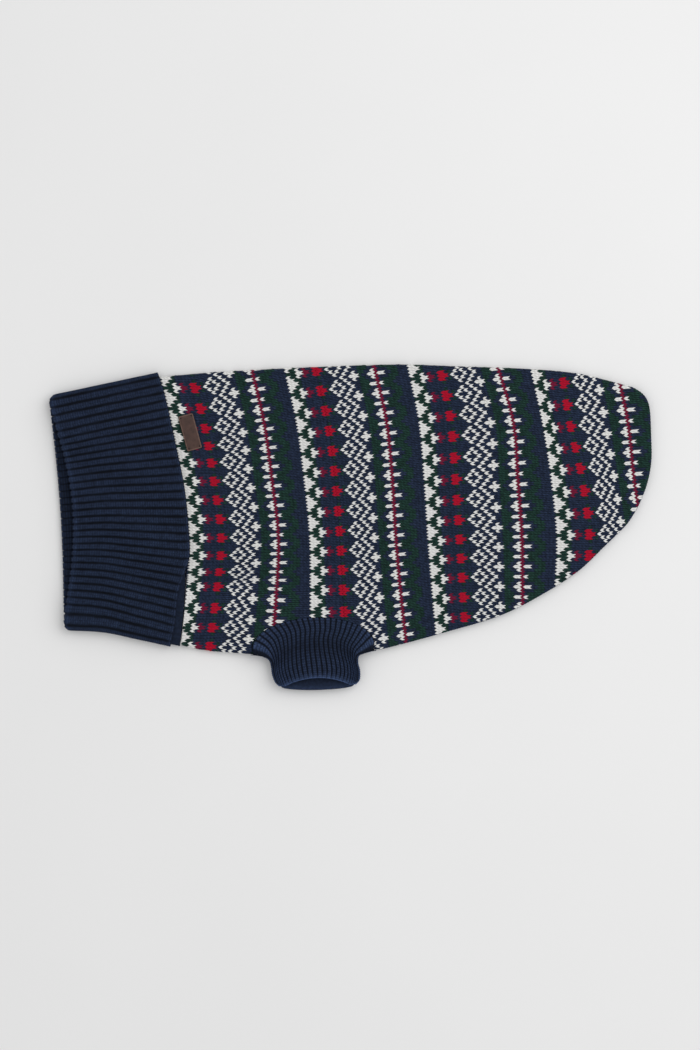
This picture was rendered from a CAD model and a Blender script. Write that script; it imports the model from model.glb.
"""A knitted dog sweater, laid flat on its side: its visual model, light and camera.

The neck is towards -X, the tail towards +X, the back fold towards +Y, and the near side looks
up. Shapes are made in millimetres and turned into metres when a mesh is made.
"""

from collections import namedtuple
from math import pi, radians

import bmesh
import bpy
import numpy as np
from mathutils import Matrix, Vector


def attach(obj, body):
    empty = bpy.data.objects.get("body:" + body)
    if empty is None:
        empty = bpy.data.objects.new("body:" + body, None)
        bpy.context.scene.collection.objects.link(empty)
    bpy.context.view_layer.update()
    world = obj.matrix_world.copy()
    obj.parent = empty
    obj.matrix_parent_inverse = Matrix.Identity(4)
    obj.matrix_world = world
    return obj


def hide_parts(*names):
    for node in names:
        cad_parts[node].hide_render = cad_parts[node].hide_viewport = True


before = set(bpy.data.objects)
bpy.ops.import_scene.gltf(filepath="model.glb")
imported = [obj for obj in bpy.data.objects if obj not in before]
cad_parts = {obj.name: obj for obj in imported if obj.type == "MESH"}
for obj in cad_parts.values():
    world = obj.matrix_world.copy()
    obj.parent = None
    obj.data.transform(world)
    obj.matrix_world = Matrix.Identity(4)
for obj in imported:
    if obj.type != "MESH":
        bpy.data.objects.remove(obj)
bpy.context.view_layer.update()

MM = 0.001
TINY = 1e-9  # as good as nothing, and the least that a length counts as when divided by
ROOT = "root"
LOFT = "loft"  # how pale a point is: 0 in a furrow, 1 on a crest, and more on stretched rib

# ---------------------------------------------------------------- the garment's measures

BODY_WALL, RIB_WALL, CUFF_WALL = 2.2, 2.1, 2.0
BODY_TOP = 5.4
SEAM_GAP = 0.8

Place = namedtuple("Place", "x y")
BACK_FOLD = (
    Place(-170.0, 128.0),
    Place(-160.0, 129.4),
    Place(-116.0, 133.3),
    Place(-24.0, 138.0),
    Place(42.0, 139.9),
    Place(93.0, 138.3),
    Place(154.0, 136.0),
    Place(195.0, 132.2),
    Place(229.0, 124.2),
    Place(241.2, 120.7),
)
UNDER_EDGE = (
    Place(-149.0, -100.6),
    Place(-135.5, -104.4),
    Place(-116.5, -107.0),
    Place(-86.0, -109.2),
    Place(-30.0, -107.6),
    Place(22.0, -105.3),
    Place(35.6, -102.8),
    Place(79.6, -90.9),
    Place(127.4, -76.5),
    Place(157.8, -61.9),
    Place(195.4, -38.2),
    Place(220.6, -14.4),
    Place(237.8, 2.6),
    Place(244.7, 12.9),
)
NECK_BACK_X, NECK_LOW_X, NECK_BOW = -166.0, -146.0, 13.0
TAIL_BOW, TAIL_SQUARENESS = 16.0, 8.0
HEM_FROM_X = 25.0
STRIP_DEPTH = 3.6  # what is left of the body between the belly fold and an armhole
# How many points each line of the plan is drawn with.
NECK_POINTS, ARCH_POINTS, BELLY_POINTS, TAIL_POINTS, BACK_POINTS = 60, 80, 90, 60, 120
AT_ONCE = 20000  # how many points are measured against an outline at a time

ARMHOLE_LEFT, ARMHOLE_RIGHT = -86.0, 22.0
ARMHOLE_RISE, ARMHOLE_ROUNDNESS = 29.3, 0.85

NECK_LIFT_UNDER, NECK_LIFT_TOP = 2.4, 1.8
NECK_CLEAR, NECK_SLOPE = 3.0, 20.0
SLEEVE_LIFT_UNDER, SLEEVE_LIFT_TOP = 2.8, 2.2
SLEEVE_SLOPE_UNDER, SLEEVE_SLOPE_TOP = 14.0, 28.0
SLEEVE_FADE = 16.0

# Soft rolls of the near side, the last of them a crease: both ends, half width and height.
Roll = namedtuple("Roll", "x0 y0 x1 y1 width height")
ROLLS = (
    Roll(-236.0, 62.0, -150.0, 40.0, 34.0, 0.9),
    Roll(-236.0, 5.0, -120.0, -12.0, 24.0, 1.0),
    Roll(-236.0, -70.0, -130.0, -76.0, 15.0, 1.0),
    Roll(-95.0, 70.0, -50.0, -30.0, 36.0, 0.8),
    Roll(10.0, 75.0, 70.0, -35.0, 40.0, 1.0),
    Roll(150.0, 95.0, 205.0, 22.0, 24.0, 1.3),
    Roll(-236.0, -34.0, -150.0, -52.0, 6.5, -0.9),
)

COLLAR_NECK_GAP, COLLAR_LAYER_GAP = 0.35, 0.3
COLLAR_STACK = 2 * RIB_WALL + COLLAR_LAYER_GAP
COLLAR_MIDDLE = COLLAR_NECK_GAP + COLLAR_STACK
COLLAR_TOP_LEFT, COLLAR_TOP_RIGHT = Place(-259.3, 113.5), Place(-166.1, 133.3)
COLLAR_BOTTOM_LEFT_X = -246.6
COLLAR_BOTTOM = (
    Place(-247.0, -89.3),
    Place(-212.0, -91.2),
    Place(-185.0, -96.8),
    Place(-155.0, -103.2),
    Place(-145.0, -105.3),
)
COLLAR_BOW_NEAR, COLLAR_BOW_FAR, COLLAR_BOW_SHARPNESS = 14.0, 3.0, 1.2
COLLAR_CORNER = 4.0
Edge = namedtuple("Edge", "y x")
COLLAR_EDGE = (
    Edge(-103.2, -155.2),
    Edge(-83.2, -150.9),
    Edge(-65.0, -149.2),
    Edge(-52.5, -147.1),
    Edge(-39.6, -142.6),
    Edge(-24.9, -138.2),
    Edge(-1.7, -138.9),
    Edge(34.4, -142.6),
    Edge(74.4, -150.9),
    Edge(114.4, -159.8),
    Edge(133.3, -166.1),
)

Ring = namedtuple("Ring", "left_x left_y right_x right_y arch drop even")
CUFF_RINGS = (
    Ring(-85.3, -110.0, 21.5, -106.1, 29.5, 0.0, 0.0),
    Ring(-76.0, -111.4, 15.2, -107.8, 22.4, 3.0, 0.1),
    Ring(-70.3, -114.4, 7.8, -110.4, 16.4, 5.1, 0.4),
    Ring(-68.4, -120.0, 6.6, -116.2, 13.0, 5.0, 0.7),
    Ring(-67.5, -126.6, 8.3, -123.6, 10.6, 4.5, 0.9),
    Ring(-65.0, -133.2, 8.0, -131.0, 9.1, 4.1, 1.0),
    Ring(-61.5, -136.8, 4.8, -135.2, 6.3, 4.1, 1.0),
)
CUFF_NEAR_UNDER, CUFF_NEAR_TOP, CUFF_SEAM_TOP = 5.4, 10.4, 5.5
CUFF_FAR_TOP = 4.8

LABEL_WIDTH, LABEL_LENGTH, LABEL_THICK = 13.0, 31.0, 1.2
LABEL_CENTRE = Place(-137.9, 81.4)
LABEL_TILT = 15.4
LABEL_GAP = 0.45
LABEL_CELLS = (26, 62)
LABEL_CORNER, LABEL_RIM, LABEL_RIM_DROP, LABEL_RIM_SHOWS = 1.3, 0.5, 0.35, 0.8
LINE_IN, LINE_WIDTH, LINE_DEPTH = 1.15, 0.28, 0.22  # the label's pressed line
HOLE_IN, HOLE_RADIUS, HOLE_DEPTH, HOLE_STEEPNESS, HOLE_SHOWS = 1.9, 0.75, 0.7, 1.6, 0.35

HEM_STITCH, HEM_OUT, HEM_PROUD = 1.3, 0.9, 0.12  # half a chain stitch, and how far it stands out
HEM_SIDES, HEM_WAIST = 6, 0.86
HEM_LOFT, HEM_WAIST_LOFT = 0.9, 0.4

# ---------------------------------------------------------------- the knit

# The body's pattern repeats over 6 wales, the letters of a row, and 37 courses, the rows from
# the collar to the tail. N navy, G green, W white, R red, B the darker red.
CHART = (
    "GWWWWW GGWWWG GGGWGG WWGGGW WNNNNN BBNNNB BNNNNN NNNNNN RRNNNR RRGNGR RNNNNN "
    "NGNNNG WNNNNN NWNNNW NNWNWN NWNNNW WNNWNN NNWNWN NWNNNW WNNWNN NNWWWN NNNWNN "
    "GGGGGG GGGNGG GGNNNG WNNWNN WNWWWN BBBBBB WNNWNN GGNWNG GGNNNG GGGNGG NGGGGG "
    "NNGGGN NNNNNN NNNNNN NNNNNN"
).split()
CHART_WALES = len(CHART[0])
YARNS = "NGWRB"

# Where a course lies: its x at each y of the header, from the collar's seam to the hem.
COURSE_YS = (140.0, 90.0, 40.0, -10.0, -60.0, -110.0)
COURSES = (
    (-6.0, -184.0, -172.0, -162.5, -156.5, -159.5, -168.0),
    (0.0, -166.0, -154.0, -144.5, -138.5, -141.5, -150.0),
    (9.5, -139.0, -125.0, -116.5, -110.0, -114.5, -121.0),
    (27.5, -86.0, -74.5, -67.5, -62.0, -64.0, -68.0),
    (46.5, -30.0, -18.5, -12.0, -8.0, -5.0, -2.0),
    (64.5, 20.0, 31.0, 36.0, 39.0, 43.5, 49.0),
    (83.5, 77.5, 87.5, 91.5, 95.0, 98.0, 101.0),
    (101.5, 126.0, 140.0, 144.0, 147.5, 148.0, 149.0),
    (120.5, 182.0, 189.5, 200.5, 206.5, 203.0, 199.0),
    (138.5, 228.0, 238.5, 244.0, 251.0, 252.0, 252.0),
    (144.0, 246.0, 256.5, 262.0, 269.0, 270.0, 270.0),
    (150.0, 266.0, 276.5, 282.0, 289.0, 290.0, 290.0),
)
# Where a wale lies: its y at each course of the header, by repeats of 6 wales from the top.
WALE_COURSES = (9.5, 46.5, 83.5, 120.5, 157.5)
WALES = (
    (-2.0, 154.0, 169.0, 181.5, 198.5, 213.0),
    (0.0, 119.5, 134.5, 147.5, 161.5, 175.0),
    (2.0, 84.5, 100.0, 113.0, 124.0, 136.0),
    (4.0, 55.0, 65.5, 78.0, 86.5, 96.0),
    (6.0, 23.0, 31.0, 41.0, 50.5, 60.0),
    (8.0, -9.5, -3.5, 6.0, 12.0, 19.0),
    (10.0, -39.0, -37.0, -27.0, -24.5, -20.0),
    (11.0, -51.0, -54.0, -43.5, -43.0, -40.0),
    (12.0, -70.0, -73.0, -60.5, -61.5, -59.0),
    (14.0, -103.0, -107.5, -94.5, -98.0, -96.0),
    (16.0, -138.0, -142.0, -129.0, -134.0, -133.0),
)
BODY_COURSES = range(-3, 147)
BODY_WALES = range(-10, 95)
# Each stretch of the body's tube: its first and last course, and its cut all round, in metres.
Tube = namedtuple("Tube", "name first last round length area")
BODY_TUBES = (
    Tube("body_front", -3, 46, 0.49, 0.150, 0.062),
    Tube("body_middle", 46, 94, 0.48, 0.143, 0.062),
    Tube("body_rear", 94, 147, 0.40, 0.140, 0.045),
)
SHEAR = 0.75  # how far a stitch's leg slants, as a share of a course
STITCH_RELIEF = 0.6
STITCH_SINK = 0.15  # how far the furrows between stitches lie below the cloth's face
STITCH_ACROSS = (0.1, 1.0, 0.2, 1.0)  # a stitch's height over its quarters: two legs
STITCH_ALONG = (0.5, 1.0)  # and over its two rows
BODY_INSIDE_LOFT = 0.5
EDGE_CLEAR = 0.15  # a stitch is made where a point of it is this far inside the outline

COLLAR_RIBS, COLLAR_FOLD_RIBS = 32, 2
COLLAR_COURSES, COLLAR_TURN_COURSES, COLLAR_STAND_COURSES = 46, 3, 8
COLLAR_STAND_ROWS, COLLAR_BACK_ROWS, COLLAR_BACK_TURN_ROWS = 8, 12, 5
COLLAR_COURSE = 2.1  # the length of a course
COLLAR_BOUND = 4.5  # the bound edge, where the furrows end
COLLAR_BOUND_SINK, COLLAR_BOUND_LOFT = 0.35, 0.5  # what is left of the furrows there
SETTLING_ROUNDS = 4  # the x and the y of a collar's point depend on each other
# How far the ribs drift at the fold, by their place down the side.
COLLAR_DRIFT = (
    (0.0, 0.0),
    (0.08, 0.012),
    (0.16, 0.023),
    (0.3, 0.009),
    (0.45, 0.003),
    (0.57, -0.003),
    (0.66, -0.0125),
    (0.75, -0.025),
    (0.88, -0.03),
    (0.95, -0.028),
    (1.0, 0.0),
)
CUFF_RIBS, CUFF_SIDE_RIBS, CUFF_COURSES = 24, 1, 24
CUFF_BOUND = 0.15  # the cuff's bound edge, as a share of its length
CUFF_BOUND_SINK, CUFF_BOUND_LOFT = 0.12, 0.15  # what is left of the furrows there
CUFF_FURROW, CUFF_RELIEF = 0.9, 0.8  # a cuff's ribs, as shares of the collar's
CUFF_SEAM_COURSES, CUFF_SEAM_SINK = 2.0, 0.5  # its furrows start shallow at the seam
CUFF_BACK_ROWS = 13
FURROW = 1.1
RIB_RELIEF = 0.34
CREST = 0.15  # a rib's points no deeper than this rise and fall with its stitches
LOFT_DROP = 1.8  # how fast the cloth darkens into a rib's furrow
COURSE_LOFT = 0.3  # and between two courses of a rib
RIB_UNEVEN = 0.22  # how much a furrow's depth wanders along the collar
FURROW_WANDER = ((0.31, 2.4), (0.13, 1.7))  # and how fast, by course and by rib
BOUND_LOFT = 0.4  # how much paler a cuff's bound edge is
FOLD_LOFT, FOLD_WIDTH = 0.3, 1.2  # and the collar's fold, and over how many courses
STAND_LOFT = 0.6  # what is left of it on the collar's stand, in the shade
INSIDE_LOFT = 0.3  # and inside a cuff
TURNED_LOFT = 0.3  # and on the collar's other face, which shows where it is turned over
WAIST_AT, WAIST_WIDTH, WAIST_LOFT, WAIST_SINK = 0.42, 0.17, 0.42, 0.9  # a cuff's soft crease
RIM_INSET = 0.08  # how far in from a cuff's corners its opening starts, as a share of its width
RIM_SQUARENESS = 0.5
CUFF_LOFT, SIDE_LOFT = 1.4, 1.0  # a cuff's ribs are stretched and paler, at its sides the most
RIM_LOFT, RIM_INSIDE_LOFT = 0.5, 0.9  # how pale the rim's last stitches are, out and in
RIM_INSIDE_FROM = 0.75  # where that starts inside, as a share of the cuff's length
RIB_EVEN_ARCH, RIB_EVEN_RIM = 0.8, 0.3  # how evenly a cuff's ribs are spread across it
SEAM_REACH, SEAM_SINK = 1.0, 0.5  # how far a cuff reaches to the body's edge, and under it

# One rib across: place, depth below the crest as a share of FURROW, and how far the place is
# from the middle of its wale, which is how far its stitches slant.
RibPoint = namedtuple("RibPoint", "place depth slant")
RIB_FINE = (
    RibPoint(0.0, 1.0, 1.0),
    RibPoint(0.11, 0.5, 1.0),
    RibPoint(0.21, 0.2, 0.5),
    RibPoint(0.31, 0.13, 0.0),
    RibPoint(0.405, 0.0, 0.5),
    RibPoint(0.5, 0.2, 1.0),
    RibPoint(0.595, 0.0, 0.5),
    RibPoint(0.69, 0.13, 0.0),
    RibPoint(0.79, 0.2, 0.5),
    RibPoint(0.89, 0.5, 1.0),
)
RIB_COARSE = (
    RibPoint(0.0, 1.0, 0.0),
    RibPoint(0.14, 0.1, 0.0),
    RibPoint(0.5, 0.15, 0.0),
    RibPoint(0.86, 0.1, 0.0),
)
RIB_BACK = (RibPoint(0.0, 0.0, 0.0), RibPoint(0.5, 0.0, 0.0))

# The parts of a flat tube's ring: its near side, the fold at the end of it, and so on round.
NEAR, END_FOLD, FAR, START_FOLD = range(4)
COLLAR_RUNS = (COLLAR_RIBS, COLLAR_FOLD_RIBS, COLLAR_RIBS, COLLAR_FOLD_RIBS)
CUFF_RUNS = (CUFF_RIBS, CUFF_SIDE_RIBS, CUFF_RIBS, CUFF_SIDE_RIBS)
OUTER_RIBS = (RIB_FINE, RIB_FINE, RIB_COARSE, RIB_FINE)
INNER_RIBS = (RIB_BACK, RIB_BACK, RIB_BACK, RIB_BACK)


# ---------------------------------------------------------------- reading the tables


def mix(a, b, share):
    return a + (b - a) * share


def ease(share):
    share = np.clip(share, 0.0, 1.0)
    return share * share * (3 - 2 * share)


def slopes_of(keys, values):
    """How steeply the values rise at each key, by the keys on both sides of it."""
    index = np.arange(len(keys))
    before, after = np.maximum(index - 1, 0), np.minimum(index + 1, len(keys) - 1)
    return ((values[after] - values[before]).T / (keys[after] - keys[before])).T


def bent(low, high, rise_low, rise_high, t):
    """A smooth way from low to high, at a share t of it, with the rise it has at both ends."""
    bend = rise_low * t * (1 - t) ** 2
    bend -= rise_high * t * t * (1 - t)
    return mix(low, high, t * t * (3 - 2 * t)) + bend


def curve(table, at, column=1):
    """A column of a table, read along a smooth curve through its rows."""
    keys = np.array([row[0] for row in table], float)
    values = np.array([row[column] for row in table], float)
    at = np.clip(np.asarray(at, float), keys[0], keys[-1])
    left = np.clip(np.searchsorted(keys, at, side="right") - 1, 0, len(keys) - 2)
    slopes = slopes_of(keys, values)
    width = keys[left + 1] - keys[left]
    t = (at - keys[left]) / width
    return bent(values[left], values[left + 1], slopes[left] * width, slopes[left + 1] * width, t)


def blend_columns(columns, at, table, key):
    """Reads a table in both directions: each column along key, then between the columns."""
    order = np.argsort(columns)
    stack = np.stack([curve(table, key, 1 + int(k)) for k in order])
    keys = np.array(columns, float)[order]
    left = np.clip(np.searchsorted(keys, at, side="right") - 1, 0, len(keys) - 2)
    flat = stack.reshape(len(keys), -1)
    slopes = slopes_of(keys, flat)
    spot = np.arange(flat.shape[1])
    left_flat = np.broadcast_to(left, stack.shape[1:]).ravel()
    at_flat = np.broadcast_to(at, stack.shape[1:]).ravel()
    width = keys[left_flat + 1] - keys[left_flat]
    t = np.clip((at_flat - keys[left_flat]) / width, 0.0, 1.0)
    low, high = flat[left_flat, spot], flat[left_flat + 1, spot]
    start, end = slopes[left_flat, spot] * width, slopes[left_flat + 1, spot] * width
    return bent(low, high, start, end, t).reshape(stack.shape[1:])


# ---------------------------------------------------------------- heights of the cloth


def rolls(x, y):
    lift = np.zeros(np.broadcast(x, y).shape)
    for roll in ROLLS:
        run_x, run_y = roll.x1 - roll.x0, roll.y1 - roll.y0
        share = ((x - roll.x0) * run_x + (y - roll.y0) * run_y) / (run_x**2 + run_y**2)
        share = np.clip(share, 0.0, 1.0)
        off = np.hypot(x - roll.x0 - run_x * share, y - roll.y0 - run_y * share)
        lift += roll.height * (1 - ease(off / (2 * roll.width)))
    return lift


def neck_share(x, y):
    return 1 - ease((x - curve(COLLAR_EDGE, y) - NECK_CLEAR) / NECK_SLOPE)


def sleeve_share(x, y, slope):
    beyond = np.maximum(np.maximum(ARMHOLE_LEFT - x, x - ARMHOLE_RIGHT), 0.0)
    above = y - curve(UNDER_EDGE, x)
    return (1 - ease(beyond / SLEEVE_FADE)) * (1 - ease(above / slope))


def body_under(x, y):
    neck = NECK_LIFT_UNDER * neck_share(x, y)
    return neck + SLEEVE_LIFT_UNDER * sleeve_share(x, y, SLEEVE_SLOPE_UNDER)


def body_top(x, y):
    neck = NECK_LIFT_TOP * neck_share(x, y)
    sleeve = SLEEVE_LIFT_TOP * sleeve_share(x, y, SLEEVE_SLOPE_TOP)
    return BODY_TOP + neck + sleeve + rolls(x, y)


# ---------------------------------------------------------------- outlines in the plan


def side_line(back, low, bow, squareness, count):
    """A line across the body from the back fold to the under edge, bowed to the tail."""
    v = np.linspace(0.0, 1.0, count)
    power = np.where(v < 0.5, squareness, 2.0)
    x = mix(back[0], low[0], v) + bow * (1 - np.abs(2 * v - 1) ** power)
    return np.column_stack([x, mix(back[1], low[1], v)])


def edge_line(table, start, end, count):
    x = np.linspace(start, end, count)
    return np.column_stack([x, curve(table, x)])


def neck_line():
    back = (NECK_BACK_X, float(curve(BACK_FOLD, NECK_BACK_X)))
    low = (NECK_LOW_X, float(curve(UNDER_EDGE, NECK_LOW_X)))
    return side_line(back, low, NECK_BOW, 2.0, NECK_POINTS)


def armhole_arch():
    turn = np.linspace(0.0, pi, ARCH_POINTS)
    share = (1 - np.cos(turn)) / 2
    low, high = (float(curve(UNDER_EDGE, x)) for x in (ARMHOLE_LEFT, ARMHOLE_RIGHT))
    rise = ARMHOLE_RISE * (4 * share * (1 - share)) ** (ARMHOLE_ROUNDNESS / 2)
    x = mix(ARMHOLE_LEFT, ARMHOLE_RIGHT, share)
    return np.column_stack([x, mix(low, high, share) + rise])


def hem_line():
    """The near side's free edge, from the belly round the tail to the back fold."""
    belly = edge_line(UNDER_EDGE, HEM_FROM_X, UNDER_EDGE[-1].x, BELLY_POINTS)
    tail = side_line(BACK_FOLD[-1], UNDER_EDGE[-1], TAIL_BOW, TAIL_SQUARENESS, TAIL_POINTS)
    return np.vstack([belly, tail[-2::-1]])


def body_outline():
    """The body's outline as corners, and whether each stretch of it is a fold."""
    neck = neck_line()
    belly = edge_line(UNDER_EDGE, NECK_LOW_X, HEM_FROM_X, BELLY_POINTS)
    hem = hem_line()
    back = edge_line(BACK_FOLD, BACK_FOLD[-1].x, NECK_BACK_X, BACK_POINTS)
    runs = ((neck, False), (belly, True), (hem, False), (back, True))
    points = np.vstack([run[:-1] for run, _ in runs])
    fold = np.concatenate([np.full(len(run) - 1, kind) for run, kind in runs])
    return points, fold


def armhole_outline():
    arch = armhole_arch()
    low = arch[::-1].copy()
    low[:, 1] = curve(UNDER_EDGE, low[:, 0]) + STRIP_DEPTH
    keep = low[:, 1] < arch[::-1][:, 1]
    return np.vstack([arch, low[keep]])


def against(points, outline):
    """Each point's depth inside a closed outline, its nearest place there, and its stretch."""
    start, end = outline, np.roll(outline, -1, axis=0)
    run = end - start
    length = np.maximum((run**2).sum(1), TINY)
    depth, nearest = np.empty(len(points)), np.empty((len(points), 2))
    stretch = np.empty(len(points), int)
    for low in range(0, len(points), AT_ONCE):
        p = points[low : low + AT_ONCE]
        off = p[:, None, :] - start[None]
        share = np.clip((off * run[None]).sum(2) / length[None], 0.0, 1.0)
        foot = start[None] + share[..., None] * run[None]
        gap = np.hypot(p[:, None, 0] - foot[..., 0], p[:, None, 1] - foot[..., 1])
        best = gap.argmin(1)
        pick = np.arange(len(p))
        above = start[None, :, 1] > p[:, 1:2]
        crosses = above != (end[None, :, 1] > p[:, 1:2])
        safe = np.where(run[:, 1] == 0, TINY, run[:, 1])
        at = start[None, :, 0] + (p[:, 1:2] - start[None, :, 1]) / safe[None] * run[None, :, 0]
        inside = (crosses & (p[:, 0:1] < at)).sum(1) % 2 == 1
        part = slice(low, low + len(p))
        depth[part] = np.where(inside, 1, -1) * gap[pick, best]
        nearest[part] = foot[pick, best]
        stretch[part] = best
    return depth, nearest, stretch


# ---------------------------------------------------------------- materials


def new_material(name, rough_low, rough_high, grain):
    """A material whose roughness varies with a fine grain, and that grain's node."""
    material = bpy.data.materials.new(name)
    material.use_nodes = True
    tree = material.node_tree
    shader = tree.nodes["Principled BSDF"]
    place = tree.nodes.new("ShaderNodeTexCoord")
    fine = tree.nodes.new("ShaderNodeTexNoise")
    fine.inputs["Scale"].default_value = grain
    fine.inputs["Detail"].default_value = 3.0
    tree.links.new(place.outputs["Object"], fine.inputs["Vector"])
    rough = tree.nodes.new("ShaderNodeMapRange")
    rough.inputs["To Min"].default_value = rough_low
    rough.inputs["To Max"].default_value = rough_high
    tree.links.new(fine.outputs["Fac"], rough.inputs["Value"])
    tree.links.new(rough.outputs["Result"], shader.inputs["Roughness"])
    return material, tree, shader, place, fine


def mottled(tree, place, colour, spread, scale):
    """A colour that wanders a little lighter and darker."""
    noise = tree.nodes.new("ShaderNodeTexNoise")
    noise.inputs["Scale"].default_value = scale
    noise.inputs["Detail"].default_value = 5.0
    tree.links.new(place.outputs["Object"], noise.inputs["Vector"])
    ramp = tree.nodes.new("ShaderNodeValToRGB")
    low, high = ramp.color_ramp.elements
    low.position, high.position = 0.32, 0.68
    low.color = (*[c * (1 - spread) for c in colour], 1.0)
    high.color = (*[min(1.0, c * (1 + spread)) for c in colour], 1.0)
    tree.links.new(noise.outputs["Fac"], ramp.inputs["Fac"])
    return ramp.outputs["Color"]


def bumped(tree, shader, height, strength, depth):
    bump = tree.nodes.new("ShaderNodeBump")
    bump.inputs["Strength"].default_value = strength
    bump.inputs["Distance"].default_value = depth
    tree.links.new(height, bump.inputs["Height"])
    tree.links.new(bump.outputs["Normal"], shader.inputs["Normal"])


def yarn(name, colour, furrow, spread, sheen=0.2):
    """Wool yarn, mottled and fibrous, and as dark as furrow where stitches meet."""
    material, tree, shader, place, fine = new_material(
        name, rough_low=0.82, rough_high=0.98, grain=2600.0
    )
    shader.inputs["Sheen Weight"].default_value = sheen
    shader.inputs["Sheen Roughness"].default_value = 0.5
    shader.inputs["Sheen Tint"].default_value = (*[min(1.0, c * 1.5 + 0.03) for c in colour], 1.0)
    shader.inputs["Specular IOR Level"].default_value = 0.12
    loft = tree.nodes.new("ShaderNodeAttribute")
    loft.attribute_name = LOFT
    depth = tree.nodes.new("ShaderNodeMapRange")
    depth.clamp = False
    depth.inputs["To Min"].default_value = furrow
    tree.links.new(loft.outputs["Fac"], depth.inputs["Value"])
    shade = tree.nodes.new("ShaderNodeVectorMath")
    shade.operation = "SCALE"
    tree.links.new(mottled(tree, place, colour, spread, scale=420.0), shade.inputs[0])
    tree.links.new(depth.outputs["Result"], shade.inputs["Scale"])
    tree.links.new(shade.outputs["Vector"], shader.inputs["Base Color"])
    bumped(tree, shader, fine.outputs["Fac"], strength=0.4, depth=0.0003)
    return material


def leather(name, colour, shine=0.3):
    material, tree, shader, place, _ = new_material(
        name, rough_low=0.5, rough_high=0.72, grain=900.0
    )
    shader.inputs["Specular IOR Level"].default_value = shine
    mottle = mottled(tree, place, colour, spread=0.22, scale=260.0)
    tree.links.new(mottle, shader.inputs["Base Color"])
    grain = tree.nodes.new("ShaderNodeTexVoronoi")
    grain.inputs["Scale"].default_value = 1800.0
    tree.links.new(place.outputs["Object"], grain.inputs["Vector"])
    bumped(tree, shader, grain.outputs["Distance"], strength=0.3, depth=0.0002)
    return material


NAVY = yarn("yarn_navy", (0.0232, 0.0373, 0.080), furrow=0.1, spread=0.35)
GREEN = yarn("yarn_green", (0.0172, 0.0550, 0.0435), furrow=0.1, spread=0.35)
WHITE = yarn("yarn_white", (0.92, 0.92, 0.90), furrow=0.45, spread=0.04, sheen=0.05)
RED = yarn("yarn_red", (0.46, 0.005, 0.028), furrow=0.5, spread=0.1)
DARK_RED = yarn("yarn_dark_red", (0.18, 0.010, 0.040), furrow=0.5, spread=0.1)
BODY_YARNS = (NAVY, GREEN, WHITE, RED, DARK_RED)  # in the order of YARNS
RIB_NAVY = yarn("yarn_rib_navy", (0.0190, 0.0315, 0.0690), furrow=0.1, spread=0.3)
LEATHER = leather("leather", (0.052, 0.026, 0.020))
LEATHER_RIM = leather("leather_rim", (0.105, 0.060, 0.046))
HOLE = leather("stitch_hole", (0.012, 0.008, 0.008), shine=0.05)


# ---------------------------------------------------------------- meshes


def tidy_mesh(piece, merge=0.00001):
    bm = bmesh.new()
    bm.from_mesh(piece.data)
    bmesh.ops.dissolve_degenerate(bm, dist=merge, edges=bm.edges)
    bmesh.ops.recalc_face_normals(bm, faces=bm.faces)
    bm.to_mesh(piece.data)
    bm.free()


def make_piece(name, points, faces, slots, materials, node, loft=None, sharp=None):
    """A piece in metres from points in millimetres, which stands for a CAD node."""
    mesh = bpy.data.meshes.new(name)
    places = np.asarray(points) * MM
    places[:, 2] = np.maximum(places[:, 2], 0.0)  # the table flattens what lies on it
    mesh.from_pydata(places.tolist(), [], faces)
    for material in materials:
        mesh.materials.append(material)
    mesh.polygons.foreach_set("material_index", slots)
    mesh.shade_smooth()
    if loft is not None:
        mesh.attributes.new(LOFT, "FLOAT", "POINT").data.foreach_set("value", loft)
    if sharp is not None:
        pairs = np.empty(len(mesh.edges) * 2, int)
        mesh.edges.foreach_get("vertices", pairs)
        flags = sharp(pairs.reshape(-1, 2))
        mesh.attributes.new("sharp_edge", "BOOLEAN", "EDGE").data.foreach_set("value", flags)
    piece = bpy.data.objects.new(name, mesh)
    bpy.context.scene.collection.objects.link(piece)
    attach(piece, ROOT)
    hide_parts(node)
    tidy_mesh(piece)
    return piece


# ---------------------------------------------------------------- the body


def body_lattice():
    """The points of the body's knit: rows 2 to a course, columns 4 to a wale."""
    courses = np.arange(2 * BODY_COURSES.start, 2 * BODY_COURSES.stop + 1) / 2
    quarters = np.arange(0, 4 * len(BODY_WALES) + 1)
    wales = BODY_WALES[0] - 0.5 + quarters / 4
    slant = np.abs(np.abs(quarters % 4 - 2) / 2)  # 0 in a wale's middle, 1 at its edges
    c = courses[:, None] + SHEAR * (slant[None] - 0.5)
    w = np.broadcast_to(wales[None], c.shape)
    y = blend_columns(WALE_COURSES, c, WALES, w / CHART_WALES)
    x = blend_columns(COURSE_YS, y, COURSES, c)
    across = np.array(STITCH_ACROSS)[quarters % 4]
    along = np.array(STITCH_ALONG)[np.arange(len(courses)) % 2]
    return x, y, across[None] * along[:, None]


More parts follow.
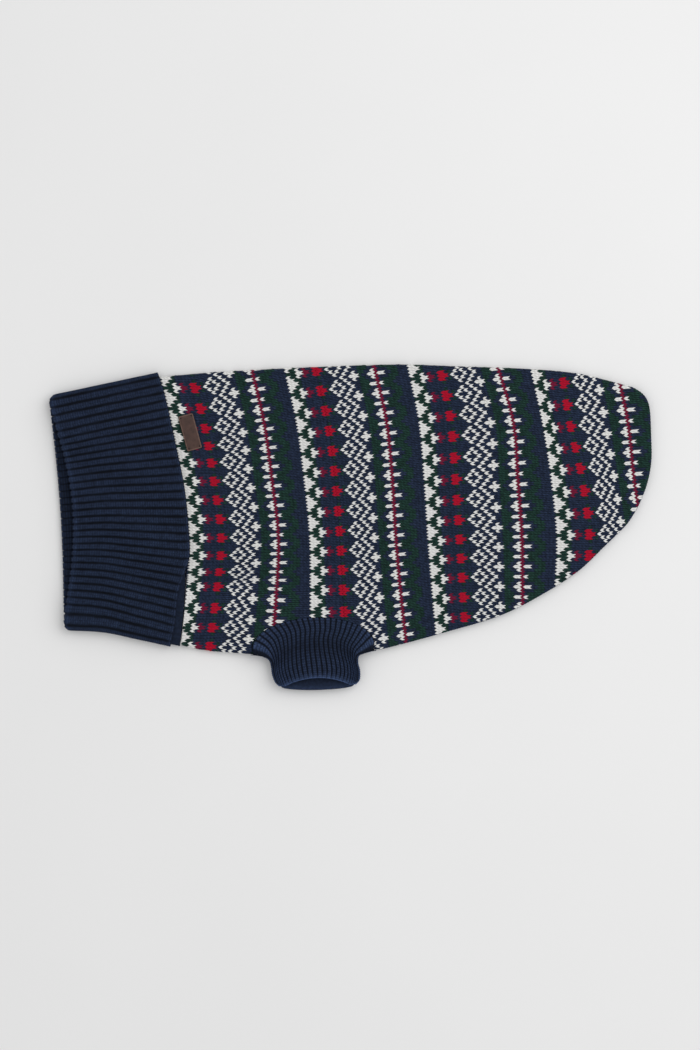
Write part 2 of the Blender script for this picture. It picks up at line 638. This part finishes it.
def body_shells():
    """The near and the far shell's outer and inner points, and the stitches that are there."""
    x, y, relief = body_lattice()
    shape = x.shape
    plan = np.column_stack([x.ravel(), y.ravel()])
    outline, folds = body_outline()
    depth, nearest, stretch = against(plan, outline)
    hole_depth, hole_nearest, _ = against(plan, armhole_outline())
    inside = ((depth > EDGE_CLEAR) & (hole_depth < -EDGE_CLEAR)).reshape(shape)
    on_fold = folds[stretch]
    outside = depth < 0
    in_hole = hole_depth > 0
    plan[outside] = nearest[outside]
    plan[in_hole & ~outside] = hole_nearest[in_hole & ~outside]
    px, py = plan[:, 0], plan[:, 1]
    top, under = body_top(px, py), body_under(px, py)
    radius, middle = (top - under) / 2, (top + under) / 2
    level = np.where(on_fold, np.clip(np.maximum(depth, 0) / radius, 0.0, 1.0), 1.0)
    up = np.sqrt(np.maximum(1 - (1 - level) ** 2, 0.0))
    away = nearest - np.column_stack([x.ravel(), y.ravel()])
    away *= np.sign(depth)[:, None]
    away /= np.maximum(np.hypot(away[:, 0], away[:, 1]), TINY)[:, None]
    out = away * (1 - level)[:, None]
    bump = relief.ravel() * STITCH_RELIEF - STITCH_SINK
    bump[outside | in_hole] = 0.0
    shells = []
    for side in (1, -1):
        lift = bump if side > 0 else bump - (STITCH_RELIEF - STITCH_SINK)
        outer = np.column_stack([plan + out * lift[:, None], middle + side * up * (radius + lift)])
        inner_up = np.maximum(up * radius - BODY_WALL * up, 0.0)
        inner = np.column_stack([plan - out * BODY_WALL, middle + side * inner_up])
        shells.append((outer.reshape(*shape, 3), inner.reshape(*shape, 3)))
    return shells, inside, relief


def stitch_colour(course, wale):
    if course < 0:
        return YARNS.index("N")
    return YARNS.index(CHART[course % len(CHART)][wale % CHART_WALES])


def body_piece(tube, shells, inside, relief):
    """A stretch of the body's tube: its near and its far shell, each a closed wall."""
    first, last = tube.first, tube.last
    points, faces, slots, loft = [], [], [], []
    marks = []  # the lattice column of each point, for its sharp edges
    for far, (outer, inner) in enumerate(shells):
        rows = slice(2 * (first - BODY_COURSES[0]), 2 * (last - BODY_COURSES[0]) + 1)
        there, height = inside[rows], relief[rows].ravel()
        count_rows, count_columns = there.shape
        base = len(points)
        outer_flat = outer[rows].reshape(-1, 3)
        inner_flat = inner[rows].reshape(-1, 3)
        used, index = [], {}

        def point(i, m, within=False):
            key = (i * count_columns + m, within)
            if key not in index:
                index[key] = base + len(used)
                used.append((inner_flat if within else outer_flat)[key[0]])
                marks.append(-1 if within else m)
                loft.append(BODY_INSIDE_LOFT if within else height[key[0]])
            return index[key]

        cells = {
            (c, w)
            for c in range((count_rows - 1) // 2)
            for w in range((count_columns - 1) // 4)
            if there[2 * c : 2 * c + 3, 4 * w : 4 * w + 5].any()
        }
        for c, w in sorted(cells):
            colour = stitch_colour(first + c, BODY_WALES[0] + w)
            i0, i1, m0, m1 = 2 * c, 2 * c + 2, 4 * w, 4 * w + 4
            for i in range(i0, i1):
                for m in range(m0, m1):
                    corners = ((i, m), (i + 1, m), (i + 1, m + 1), (i, m + 1))
                    face = [point(*corner) for corner in corners]
                    faces.append(face if far else face[::-1])
                    slots.append(colour)
            corners = ((i0, m0), (i0, m1), (i1, m1), (i1, m0))
            face = [point(*corner, within=True) for corner in corners]
            faces.append(face if far else face[::-1])
            slots.append(YARNS.index("N"))
            sides = {
                (c - 1, w): [(i0, m) for m in range(m0, m1 + 1)],
                (c + 1, w): [(i1, m) for m in range(m1, m0 - 1, -1)],
                (c, w - 1): [(i, m0) for i in range(i1, i0 - 1, -1)],
                (c, w + 1): [(i, m1) for i in range(i0, i1 + 1)],
            }
            for beside, run in sides.items():
                if beside in cells:
                    continue
                face = [point(*at) for at in run]
                face += [point(*run[-1], within=True), point(*run[0], within=True)]
                faces.append(face if far else face[::-1])
                slots.append(colour)
        points.extend(used)
    marks = np.array(marks)

    def furrows(pairs):
        a, b = marks[pairs[:, 0]], marks[pairs[:, 1]]
        return (a == b) & (a % 2 == 0)

    return make_piece(tube.name, points, faces, slots, BODY_YARNS, "body", loft, furrows)


def make_body():
    shells, inside, relief = body_shells()
    return [body_piece(tube, shells, inside, relief) for tube in BODY_TUBES]


# ---------------------------------------------------------------- ribbed tubes


def ring_layout(counts, kinds):
    """Each column of a ring: its part, place across, angle round the tube, depth and slant."""
    columns = []
    for part, (count, points) in enumerate(zip(counts, kinds)):
        for rib in range(count):
            for p in points:
                share = (rib + p.place) / count
                across = (share, 1.0, 1 - share, 0.0)[part]
                angle = (90.0, 90 - 180 * share, -90.0, 180 * share - 90)[part]
                columns.append((part, across, radians(angle), p.depth, p.slant))
    return np.array(columns).T


def joined_columns(counts):
    """The outer column that each inner column is joined to: two to a rib."""
    at, joined = 0, []
    for count, points in zip(counts, OUTER_RIBS):
        half_way = [p.place for p in points].index(0.5)
        for _ in range(count):
            joined += [at, at + half_way]
            at += len(points)
    return joined


def collar_top(x):
    left, right = COLLAR_TOP_LEFT, COLLAR_TOP_RIGHT
    return mix(left.y, right.y, (x - left.x) / (right.x - left.x))


def seam_x(y):
    line = neck_line()[::-1]
    return np.interp(y, line[:, 1], line[:, 0]) - SEAM_GAP


def collar_places(u, angle, down, radius):
    """Points of the collar at u courses from its free edge, over the fold and down inside."""
    turn_from, turn_to = COLLAR_COURSES, COLLAR_COURSES + COLLAR_TURN_COURSES
    down_share = np.clip(1 - u / turn_from, 0.0, 1.0)
    turn = pi * np.clip((u - turn_from) / (turn_to - turn_from), 0.0, 1.0)
    stand_share = np.clip((u - turn_to) / COLLAR_COURSES, 0.0, 1.0)
    out, up = np.cos(angle), np.sin(angle)
    drift = curve(COLLAR_DRIFT, down) * (1 - down_share) * (np.abs(out) < 0.5)
    v = down + drift
    half = COLLAR_STACK / 2
    ring = COLLAR_NECK_GAP + half + radius * np.cos(turn)
    bow = np.where(up > 0, COLLAR_BOW_NEAR, COLLAR_BOW_FAR)
    left = mix(COLLAR_TOP_LEFT.x, COLLAR_BOTTOM_LEFT_X, v) + COLLAR_CORNER * out**2
    left = left + bow * np.maximum(np.sin(pi * v), 0.0) ** COLLAR_BOW_SHARPNESS
    middle = left + half - radius * np.sin(turn)
    way = np.where((down == 0.0) & (np.abs(out) > TINY), 1.0, -1.0)
    x = np.broadcast_to(middle, np.broadcast(u, angle, radius).shape).copy()
    y = np.zeros_like(x)
    for _ in range(SETTLING_ROUNDS):
        high = collar_top(x) - COLLAR_MIDDLE
        low = curve(COLLAR_BOTTOM, x) + COLLAR_MIDDLE
        y = mix(high, low, v) + out * ring * way
        x = np.where(turn > pi / 2, mix(middle, seam_x(y), stand_share), x)
        x = np.where(turn < pi / 2, mix(middle, curve(COLLAR_EDGE, y), down_share), x)
        x = np.where((turn > 0) & (turn < pi), middle, x)
    z = COLLAR_MIDDLE + up * ring + rolls(x, y) * np.maximum(up, 0.0)
    return np.stack([x, y, z], axis=-1)


def ribbed_tube(name, node, outer, inner, loft, inner_loft, joined):
    """A closed ribbed tube: outer rings, inner rings, and a join at both ends."""
    rows, columns = outer.shape[:2]
    inner_rows, inner_columns = inner.shape[:2]
    points = np.vstack([outer.reshape(-1, 3), inner.reshape(-1, 3)])
    base = rows * columns
    faces = []
    for i in range(rows - 1):
        for m in range(columns):
            after = (m + 1) % columns
            low, high = i * columns, (i + 1) * columns
            faces.append([low + m, low + after, high + after, high + m])
    for i in range(inner_rows - 1):
        for m in range(inner_columns):
            after = (m + 1) % inner_columns
            low, high = base + i * inner_columns, base + (i + 1) * inner_columns
            faces.append([low + m, high + m, high + after, low + after])
    for row, inner_row in ((0, 0), (rows - 1, inner_rows - 1)):
        for m in range(inner_columns):
            after = (m + 1) % inner_columns
            start, end = joined[m], joined[after]
            if end <= start:
                end += columns
            run = [row * columns + k % columns for k in range(start, end + 1)]
            low = base + inner_row * inner_columns
            faces.append([low + m, low + after, *run[::-1]])
    loft = np.concatenate([loft.ravel(), np.repeat(inner_loft, inner_columns)])
    return make_piece(name, points, faces, [0] * len(faces), (RIB_NAVY,), node, loft)


def make_collar():
    part, down, angle, depth, slant = ring_layout(COLLAR_RUNS, OUTER_RIBS)
    turned = COLLAR_COURSES + COLLAR_TURN_COURSES
    fine, last = turned + COLLAR_STAND_COURSES, turned + COLLAR_COURSES
    u = np.concatenate([np.arange(2 * fine) / 2, np.linspace(fine, last, COLLAR_STAND_ROWS)])
    shift = SHEAR * (slant - 0.5) * (slant > 0)
    rows = np.clip(u[:, None] + shift[None] * (u[:, None] > 0) * (u[:, None] < fine), 0.0, last)
    bound = ease(u * COLLAR_COURSE / COLLAR_BOUND)[:, None]
    far_floor = (part == FAR)[None] & (u[:, None] < COLLAR_COURSES)
    crest = (depth < CREST)[None] * (np.arange(len(u)) % 2)[:, None] * (u[:, None] < fine)
    rib = np.floor(down * COLLAR_RIBS)[None]
    wander = 1.0
    for by_course, by_rib in FURROW_WANDER:
        wander = wander * np.sin(by_course * u[:, None] + by_rib * rib)
    deep = depth[None] * (1 + RIB_UNEVEN * wander)
    sink = deep * FURROW * mix(COLLAR_BOUND_SINK, 1.0, bound)
    sink = np.where(far_floor, 0.0, sink) - RIB_RELIEF * crest * ~far_floor
    outer = collar_places(rows, angle[None], down[None], COLLAR_STACK / 2 - sink)
    stitch = np.where(np.arange(len(u)) % 2, 1.0, COURSE_LOFT)[:, None]
    loft = np.clip(1 - deep * LOFT_DROP * mix(COLLAR_BOUND_LOFT, 1.0, bound), 0.0, 1.0) * stitch
    fold = np.exp(-(((u - COLLAR_COURSES) / FOLD_WIDTH) ** 2))[:, None]
    loft = loft + FOLD_LOFT * fold * ~far_floor
    loft = loft * np.where(u < turned, 1.0, STAND_LOFT)[:, None]

    b_down, b_angle = ring_layout(COLLAR_RUNS, INNER_RIBS)[1:3]
    b_u = np.concatenate([
        np.linspace(0, COLLAR_COURSES, COLLAR_BACK_ROWS),
        np.linspace(COLLAR_COURSES, turned, COLLAR_BACK_TURN_ROWS)[1:],
        np.linspace(turned, last, COLLAR_BACK_ROWS)[1:],
    ])
    radius = np.full((len(b_u), len(b_angle)), COLLAR_STACK / 2 - RIB_WALL)
    rows = np.broadcast_to(b_u[:, None], radius.shape)
    inner = collar_places(rows, b_angle[None], b_down[None], radius)
    inner_loft = np.full(len(b_u), TURNED_LOFT)
    joined = joined_columns(COLLAR_RUNS)
    return ribbed_tube("collar_rib", "collar", outer, inner, loft, inner_loft, joined)


def near_cuff_top(x, y):
    above = y - curve(UNDER_EDGE, x)
    return mix(CUFF_NEAR_TOP, CUFF_SEAM_TOP, ease(above / SLEEVE_SLOPE_TOP)) + rolls(x, y)


def cuff_places(at, columns, near, inset):
    """Points of a leg cuff at a place between its rings, at columns round it."""
    table = [(k, *ring) for k, ring in enumerate(CUFF_RINGS)]
    lx, ly, rx, ry, arch, drop, even = (curve(table, at, 1 + k) for k in range(7))
    inner_face = CUFF_NEAR_UNDER if near else CUFF_FAR_TOP
    side = 1 if near else -1

    def outer_face(x, y):
        return near_cuff_top(x, y) if near else np.zeros(np.broadcast(x, y).shape)

    part, v, angle = columns
    out, up = np.cos(angle), np.sin(angle)
    power = mix(ARMHOLE_ROUNDNESS / 2, 1.0, even)
    across = mix((1 - np.cos(pi * v)) / 2, v, mix(RIB_EVEN_ARCH, RIB_EVEN_RIM, even))
    rim = ease(at - (len(CUFF_RINGS) - 2))
    open_at = np.clip((across - RIM_INSET * rim) / (1 - 2 * RIM_INSET * rim), 0.0, 1.0)
    opening = np.maximum(4 * open_at * (1 - open_at), 0.0) ** power
    shape = np.maximum(4 * across * (1 - across), 0.0) ** mix(power, RIM_SQUARENESS, rim)
    end = np.round(v)
    end_face = outer_face(mix(lx, rx, end), mix(ly, ry, end))
    radius = np.abs(end_face - inner_face) / 2
    pull = radius * (1 - shape) ** 2
    x = mix(lx + pull, rx - pull, across)
    y = mix(ly, ry, across)
    reach = SEAM_REACH * np.clip(1 - 2 * at, 0.0, 1.0)
    x = x + reach * (2 * across - 1)
    arch_y, drop_y = y + (arch + reach) * opening, y - drop * shape
    on_side = (part == END_FOLD) | (part == START_FOLD)
    y = np.where(part == NEAR, arch_y, np.where(part == FAR, drop_y, y))
    x = np.where(on_side, x + out * (radius - inset) * np.where(part == END_FOLD, 1, -1), x)
    z = np.where(
        part == NEAR,
        outer_face(x, y) - side * (inset + near * SEAM_SINK * reach),
        np.where(
            part == FAR,
            inner_face + side * inset,
            (end_face + inner_face) / 2 + side * up * (radius - inset),
        ),
    )
    return np.stack([x, y, z], axis=-1)


def make_cuff(name, node, near):
    part, v, angle, depth, slant = ring_layout(CUFF_RUNS, OUTER_RIBS)
    u = np.arange(2 * CUFF_COURSES + 1) / 2
    last = len(CUFF_RINGS) - 1
    shift = SHEAR * (slant - 0.5) * (slant > 0)
    ends = (u[:, None] > 0) * (u[:, None] < CUFF_COURSES)
    rows = np.clip(u[:, None] + shift[None] * ends, 0.0, CUFF_COURSES) * last / CUFF_COURSES
    bound = ease((1 - u / CUFF_COURSES) / CUFF_BOUND)[:, None]
    seam = ease(u / CUFF_SEAM_COURSES)[:, None]
    waist = np.exp(-(((u / CUFF_COURSES - WAIST_AT) / WAIST_WIDTH) ** 2))[:, None]
    crest = (depth < CREST)[None] * (np.arange(len(u)) % 2)[:, None]
    sink = depth[None] * FURROW * CUFF_FURROW * mix(CUFF_BOUND_SINK, 1.0, bound)
    sink = sink * mix(CUFF_SEAM_SINK, 1.0, seam) - RIB_RELIEF * CUFF_RELIEF * crest
    if near:
        waist_in = np.sin(pi * v)[None] * waist * WAIST_SINK
        sink = sink + np.where((part == NEAR)[None], waist_in, 0.0)
    else:
        sink = np.where((part == NEAR)[None], np.maximum(sink, 0.0), sink)
    outer = cuff_places(rows, (part[None], v[None], angle[None]), near, sink)
    stitch = np.where(np.arange(len(u)) % 2, 1.0, COURSE_LOFT)[:, None]
    dark = depth[None] * LOFT_DROP * mix(CUFF_BOUND_LOFT, 1.0, bound)
    loft = np.clip(1 - dark, 0.0, 1.0) * stitch
    rim = ease(u - (CUFF_COURSES - 1))[:, None]
    loft = (loft + BOUND_LOFT * (1 - bound) + RIM_LOFT * rim) * (1 - WAIST_LOFT * waist)
    on_side = (part == END_FOLD) | (part == START_FOLD)
    at_side = np.where(on_side, 1.0, np.abs(2 * v - 1) ** 4)
    loft = loft * (CUFF_LOFT + SIDE_LOFT * at_side[None])

    b_columns = ring_layout(CUFF_RUNS, INNER_RIBS)[:3, None]
    b_u = np.linspace(0, last, CUFF_BACK_ROWS)
    wall = np.full((len(b_u), b_columns.shape[-1]), CUFF_WALL)
    inner = cuff_places(np.broadcast_to(b_u[:, None], wall.shape), b_columns, near, wall)
    inside_rim = ease((b_u / last - RIM_INSIDE_FROM) / (1 - RIM_INSIDE_FROM))
    inner_loft = mix(INSIDE_LOFT, RIM_INSIDE_LOFT, inside_rim)
    return ribbed_tube(name, node, outer, inner, loft, inner_loft, joined_columns(CUFF_RUNS))


# ---------------------------------------------------------------- the hem's edge and the label


def chain_along(name, line, radius, node, material):
    """A thin bound edge of chain stitches along a closed line in space."""
    ahead = np.roll(line, -1, axis=0) - np.roll(line, 1, axis=0)
    ahead /= np.maximum(np.linalg.norm(ahead, axis=1), TINY)[:, None]
    side = np.cross(ahead, (0.0, 0.0, 1.0))
    side /= np.maximum(np.linalg.norm(side, axis=1), TINY)[:, None]
    over = np.cross(side, ahead)
    count, ring = len(line), HEM_SIDES
    points, faces = [], []
    for i in range(count):
        r = radius * (1.0 if i % 2 else HEM_WAIST)
        for k in range(ring):
            a = 2 * pi * k / ring
            points.append(line[i] + side[i] * r * np.cos(a) + over[i] * r * np.sin(a))
    for i in range(count):
        for k in range(ring):
            j, n = (i + 1) % count, (k + 1) % ring
            faces.append([i * ring + k, i * ring + n, j * ring + n, j * ring + k])
    loft = [HEM_LOFT if i % 2 else HEM_WAIST_LOFT for i in range(count) for _ in range(ring)]
    return make_piece(name, points, faces, [0] * len(faces), (material,), node, loft)


def make_hem():
    near = hem_line()
    length = np.concatenate([[0], np.cumsum(np.hypot(*np.diff(near, axis=0).T))])
    at = np.linspace(0, length[-1], int(length[-1] / HEM_STITCH))
    x, y = np.interp(at, length, near[:, 0]), np.interp(at, length, near[:, 1])
    turn = np.gradient(np.column_stack([x, y]), axis=0)
    turn /= np.hypot(turn[:, 0], turn[:, 1])[:, None]
    x, y = x - turn[:, 1] * HEM_OUT, y + turn[:, 0] * HEM_OUT
    half = BODY_WALL / 2
    upper = np.column_stack([x, y, body_top(x, y) - half])
    lower = np.column_stack([x, y, body_under(x, y) + half])[::-1]
    tail_turn, belly_turn = mix(upper[-1], lower[0], 0.5), mix(lower[-1], upper[0], 0.5)
    line = np.vstack([upper, tail_turn, lower, belly_turn])
    return chain_along("body_hem_edge", line, half + HEM_PROUD, "body", NAVY)


def make_label():
    """Leather with a rolled rim, a pressed line inside it and a stitch hole at each corner."""
    nx, ny = LABEL_CELLS
    half_x, half_y = LABEL_WIDTH / 2, LABEL_LENGTH / 2
    xs, ys = np.linspace(-half_x, half_x, nx + 1), np.linspace(-half_y, half_y, ny + 1)
    u, w = np.meshgrid(xs, ys, indexing="ij")
    over_x = np.abs(u) - (half_x - LABEL_CORNER)
    over_y = np.abs(w) - (half_y - LABEL_CORNER)
    both = (over_x > 0) & (over_y > 0)
    reach = np.hypot(over_x, over_y)
    largest = np.maximum(over_x, over_y)
    shrink = np.where(both & (reach > 0), largest / np.maximum(reach, TINY), 1.0)
    u = np.where(both, np.sign(u) * (half_x - LABEL_CORNER + over_x * shrink), u)
    w = np.where(both, np.sign(w) * (half_y - LABEL_CORNER + over_y * shrink), w)
    edge = np.minimum(half_x - np.abs(u), half_y - np.abs(w))
    line = np.exp(-(((edge - LINE_IN) / LINE_WIDTH) ** 2)) * LINE_DEPTH
    rim = np.clip(edge / LABEL_RIM, 0, 1)
    z_up = LABEL_THICK - LABEL_RIM_DROP * (1 - rim) ** 2 - line
    holes = np.zeros_like(u)
    for sx in (-1, 1):
        for sy in (-1, 1):
            off = np.hypot(u - sx * (half_x - HOLE_IN), w - sy * (half_y - HOLE_IN))
            holes = np.maximum(holes, np.clip(1 - off / HOLE_RADIUS, 0, 1))
    z_up = z_up - HOLE_DEPTH * ease(holes * HOLE_STEEPNESS)
    tilt = radians(LABEL_TILT)
    x = LABEL_CENTRE.x + u * np.cos(tilt) - w * np.sin(tilt)
    y = LABEL_CENTRE.y + u * np.sin(tilt) + w * np.cos(tilt)
    ground = body_top(x, y) + LABEL_GAP
    top = np.stack([x, y, ground + z_up], axis=-1).reshape(-1, 3)
    bottom = np.stack([x, y, ground], axis=-1).reshape(-1, 3)
    points = np.vstack([top, bottom])
    base, columns = len(top), ny + 1
    faces, slots = [], []
    for i in range(nx):
        for j in range(ny):
            a, b = i * columns + j, (i + 1) * columns + j
            c, d = b + 1, a + 1
            faces.append([a, b, c, d])
            mean_edge = edge[i : i + 2, j : j + 2].mean()
            mean_hole = holes[i : i + 2, j : j + 2].mean()
            slots.append(2 if mean_hole > HOLE_SHOWS else (1 if mean_edge < LABEL_RIM_SHOWS else 0))
            faces.append([base + d, base + c, base + b, base + a])
            slots.append(0)
    ring = [i * columns for i in range(nx + 1)]
    ring += [nx * columns + j for j in range(1, ny + 1)]
    ring += [i * columns + ny for i in range(nx - 1, -1, -1)]
    ring += range(ny - 1, 0, -1)
    for a, b in zip(ring, ring[1:] + ring[:1]):
        faces.append([b, a, base + a, base + b])
        slots.append(1)
    materials = (LEATHER, LEATHER_RIM, HOLE)
    return make_piece("label_leather", points, faces, slots, materials, "label")


# ---------------------------------------------------------------- stage, light and camera


FLOOR_REACH, FLOOR_DROP = 4.0, 0.0004
CAMERA_X, CAMERA_Y, CAMERA_HEIGHT, SUBJECT_HEIGHT = -0.00043, 0.00172, 2.5, 0.006
SENSOR, VIEW_LENGTH = 36, 0.903  # millimetres, and what its long side sees of the garment's plane


def make_stage():
    mesh = bpy.data.meshes.new("floor")
    ends = ((-1, -1), (1, -1), (1, 1), (-1, 1))
    corners = [(x * FLOOR_REACH, y * FLOOR_REACH, 0) for x, y in ends]
    mesh.from_pydata(corners, [], [(0, 1, 2, 3)])
    floor = bpy.data.objects.new("floor", mesh)
    bpy.context.scene.collection.objects.link(floor)
    floor.location.z = -FLOOR_DROP
    material, tree, shader, place, fine = new_material(
        "floor_paper", rough_low=0.9, rough_high=1.0, grain=700.0
    )
    mottle = mottled(tree, place, (0.8, 0.8, 0.8), spread=0.01, scale=3.0)
    tree.links.new(mottle, shader.inputs["Base Color"])
    shader.inputs["Specular IOR Level"].default_value = 0.1
    bumped(tree, shader, fine.outputs["Fac"], strength=0.05, depth=0.0001)
    mesh.materials.append(material)


def make_light(name, place, aim, size, power):
    light = bpy.data.lights.new(name, "AREA")
    light.shape = "SQUARE"
    light.size = size
    light.energy = power
    lamp = bpy.data.objects.new(name, light)
    bpy.context.scene.collection.objects.link(lamp)
    lamp.location = place
    lamp.rotation_euler = (Vector(aim) - Vector(place)).to_track_quat("-Z", "Y").to_euler()


def make_view():
    world = bpy.data.worlds.new("studio")
    world.use_nodes = True
    background = world.node_tree.nodes["Background"]
    background.inputs["Color"].default_value = (1, 1, 1, 1)
    background.inputs["Strength"].default_value = 0.76
    bpy.context.scene.world = world
    make_light("key", place=(1.45, 0.75, 1.6), aim=(0, 0, 0), size=2.3, power=25)
    camera = bpy.data.cameras.new("camera")
    camera.sensor_width = SENSOR
    camera.lens = SENSOR * (CAMERA_HEIGHT - SUBJECT_HEIGHT) / VIEW_LENGTH
    made = bpy.data.objects.new("camera", camera)
    bpy.context.scene.collection.objects.link(made)
    made.location = (CAMERA_X, CAMERA_Y, CAMERA_HEIGHT)
    bpy.context.scene.camera = made
    bpy.context.scene.view_settings.view_transform = "Standard"


# ---------------------------------------------------------------- making it all

make_view()
make_stage()
body = make_body()
hem = make_hem()
collar = make_collar()
cuff_near = make_cuff("leg_cuff_near_rib", "leg_cuff_near", True)
cuff_far = make_cuff("leg_cuff_far_rib", "leg_cuff_far", False)
label = make_label()

for piece in (*body, hem, collar, cuff_near, cuff_far, label):
    print(piece.name, sum(len(p.vertices) - 2 for p in piece.data.polygons), "triangles")
